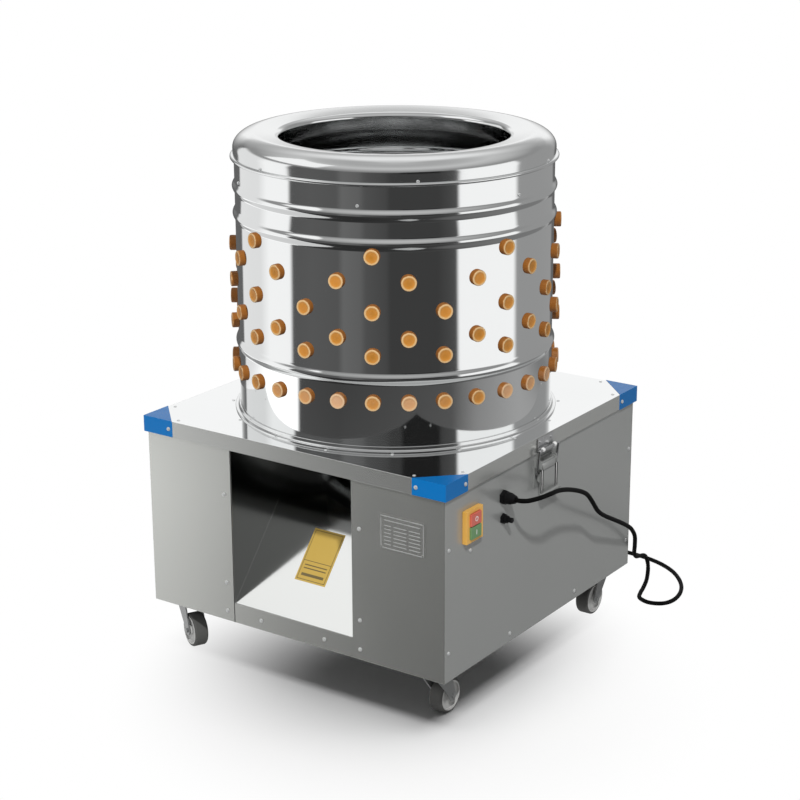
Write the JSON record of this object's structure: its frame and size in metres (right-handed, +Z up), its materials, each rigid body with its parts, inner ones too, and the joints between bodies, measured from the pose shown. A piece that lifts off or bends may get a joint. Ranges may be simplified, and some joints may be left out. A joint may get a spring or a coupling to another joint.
{
  "type": "poultry plucker",
  "caption": "Drum poultry plucker: polished drum of rubber fingers on a tilting deck, driven turntable inside, square sheet-steel base with feather chute, switch and swivel casters.",
  "frame": {"origin": "on the floor under the drum's axis", "axes": "+Z up, -Y towards the feather outlet, +X towards the switch and latch side"},
  "size_m": [0.7108, 0.856, 0.92],
  "materials": {
    "panel_steel": "satin",
    "bright_steel": "polished",
    "plain_steel": "plain",
    "zinc_steel": "zinc plated",
    "grey_iron": "painted grey",
    "pulley_metal": "turned",
    "finger_rubber": "matte",
    "black_rubber": "matte",
    "black_plastic": "matte",
    "blue_paint": "semi-gloss",
    "yellow_plastic": "gloss",
    "red_plastic": "gloss",
    "green_plastic": "gloss",
    "wheel_grey": "matte"
  },
  "bodies": {
    "base": {"bottom_frame": "zinc_steel", "corner_posts": "zinc_steel", "top_frame": "zinc_steel", "drive_frame": "zinc_steel", "front_left_panel": "panel_steel", "front_right_panel": "panel_steel", "front_sill": "panel_steel", "left_panel": "panel_steel", "right_panel": "panel_steel", "rear_panel": "panel_steel", "feather_chute": "bright_steel", "feather_pan": "bright_steel", "panel_screws": "plain_steel", "data_plate": "plain_steel", "switch_housing": "yellow_plastic", "overload_breaker": "black_plastic", "cable_gland": "black_plastic", "latch_base": "plain_steel", "hinge_base_leaves": "plain_steel", "spindle_housing": "grey_iron", "spindle_bearings": "plain_steel", "motor_plate": "zinc_steel", "motor_body": "grey_iron", "motor_fan_cover": "black_plastic", "drive_belt": "black_rubber", "caster_plates": "zinc_steel", "mains_cord": "black_rubber", "cord_coil": "black_rubber", "cord_tie": "black_plastic", "plug": "black_plastic"},
    "deck": {"deck_plate": "bright_steel", "corner_caps": "blue_paint", "deck_screws": "plain_steel", "drum_shell": "bright_steel", "drum_foot_ring": "bright_steel", "rim_cap": "bright_steel", "drum_fingers": "finger_rubber", "latch_keeper": "plain_steel", "hinge_deck_leaves": "plain_steel"},
    "turntable": {"turntable_plate": "bright_steel", "turntable_hub": "plain_steel", "main_shaft": "plain_steel", "driven_pulley": "pulley_metal", "plate_fingers": "finger_rubber", "feather_sweeps": "black_rubber"},
    "rotor": {"motor_shaft": "plain_steel", "drive_pulley": "pulley_metal"},
    "latch_lever": {"latch_lever": "plain_steel"},
    "latch_bail": {"latch_bail": "plain_steel"},
    "stop_button": {"stop_button": "red_plastic"},
    "start_button": {"start_button": "green_plastic"},
    "reset_button": {"reset_button": "black_plastic"},
    "front_left_fork": {"front_left_fork": "zinc_steel"},
    "front_left_wheel": {"front_left_wheel": "wheel_grey"},
    "front_right_fork": {"front_right_fork": "zinc_steel"},
    "front_right_wheel": {"front_right_wheel": "wheel_grey"},
    "rear_left_fork": {"rear_left_fork": "zinc_steel"},
    "rear_left_wheel": {"rear_left_wheel": "wheel_grey"},
    "rear_right_fork": {"rear_right_fork": "zinc_steel"},
    "rear_right_wheel": {"rear_right_wheel": "wheel_grey"}
  },
  "joints": [
    {"name": "deck_tilt", "type": "hinge", "parent": "base", "child": "deck", "pos_m": [-0.3205, 0, 0.402], "axis": [0, -1, 0], "range_deg": [0, 80]},
    {"name": "turntable_spin", "type": "hinge", "parent": "base", "child": "turntable", "pos_m": [0, 0, 0.3], "axis": [0, 0, 1], "continuous": true},
    {"name": "motor_spin", "type": "hinge", "parent": "base", "child": "rotor", "pos_m": [0, 0.168, 0.3], "axis": [0, 0, 1], "continuous": true},
    {"name": "latch_lever_swing", "type": "hinge", "parent": "base", "child": "latch_lever", "pos_m": [0.319, -0.01, 0.385], "axis": [0, -1, 0], "range_deg": [0, 120]},
    {"name": "latch_bail_swing", "type": "hinge", "parent": "latch_lever", "child": "latch_bail", "pos_m": [0.319, -0.01, 0.371], "axis": [0, -1, 0], "range_deg": [-120, 0]},
    {"name": "stop_press", "type": "slide", "parent": "base", "child": "stop_button", "axis": [-1, 0, 0], "range_m": [0, 0.003], "stiffness_N_per_m": 600},
    {"name": "start_press", "type": "slide", "parent": "base", "child": "start_button", "axis": [-1, 0, 0], "range_m": [0, 0.003], "stiffness_N_per_m": 600},
    {"name": "reset_press", "type": "slide", "parent": "base", "child": "reset_button", "axis": [-1, 0, 0], "range_m": [0, 0.003], "stiffness_N_per_m": 400},
    {"name": "front_left_swivel", "type": "hinge", "parent": "base", "child": "front_left_fork", "pos_m": [-0.268, -0.268, 0.07], "axis": [0, 0, 1], "continuous": true},
    {"name": "front_left_spin", "type": "hinge", "parent": "front_left_fork", "child": "front_left_wheel", "pos_m": [-0.24662, -0.2789, 0.0305], "axis": [0.454, 0.891, 0], "continuous": true},
    {"name": "front_right_swivel", "type": "hinge", "parent": "base", "child": "front_right_fork", "pos_m": [0.268, -0.268, 0.07], "axis": [0, 0, 1], "continuous": true},
    {"name": "front_right_spin", "type": "hinge", "parent": "front_right_fork", "child": "front_right_wheel", "pos_m": [0.268, -0.244, 0.0305], "axis": [-1, 0, 0], "continuous": true},
    {"name": "rear_left_swivel", "type": "hinge", "parent": "base", "child": "rear_left_fork", "pos_m": [-0.268, 0.268, 0.07], "axis": [0, 0, 1], "continuous": true},
    {"name": "rear_left_spin", "type": "hinge", "parent": "rear_left_fork", "child": "rear_left_wheel", "pos_m": [-0.256, 0.24721, 0.0305], "axis": [0.866, 0.5, 0], "continuous": true},
    {"name": "rear_right_swivel", "type": "hinge", "parent": "base", "child": "rear_right_fork", "pos_m": [0.268, 0.268, 0.07], "axis": [0, 0, 1], "continuous": true},
    {"name": "rear_right_spin", "type": "hinge", "parent": "rear_right_fork", "child": "rear_right_wheel", "pos_m": [0.268, 0.244, 0.0305], "axis": [1, 0, 0], "continuous": true}
  ],
  "couplings": [
    {"joint": "motor_spin", "follows": "turntable_spin", "ratio": 4},
    {"joint": "latch_bail_swing", "follows": "latch_lever_swing", "ratio": -1}
  ]
}
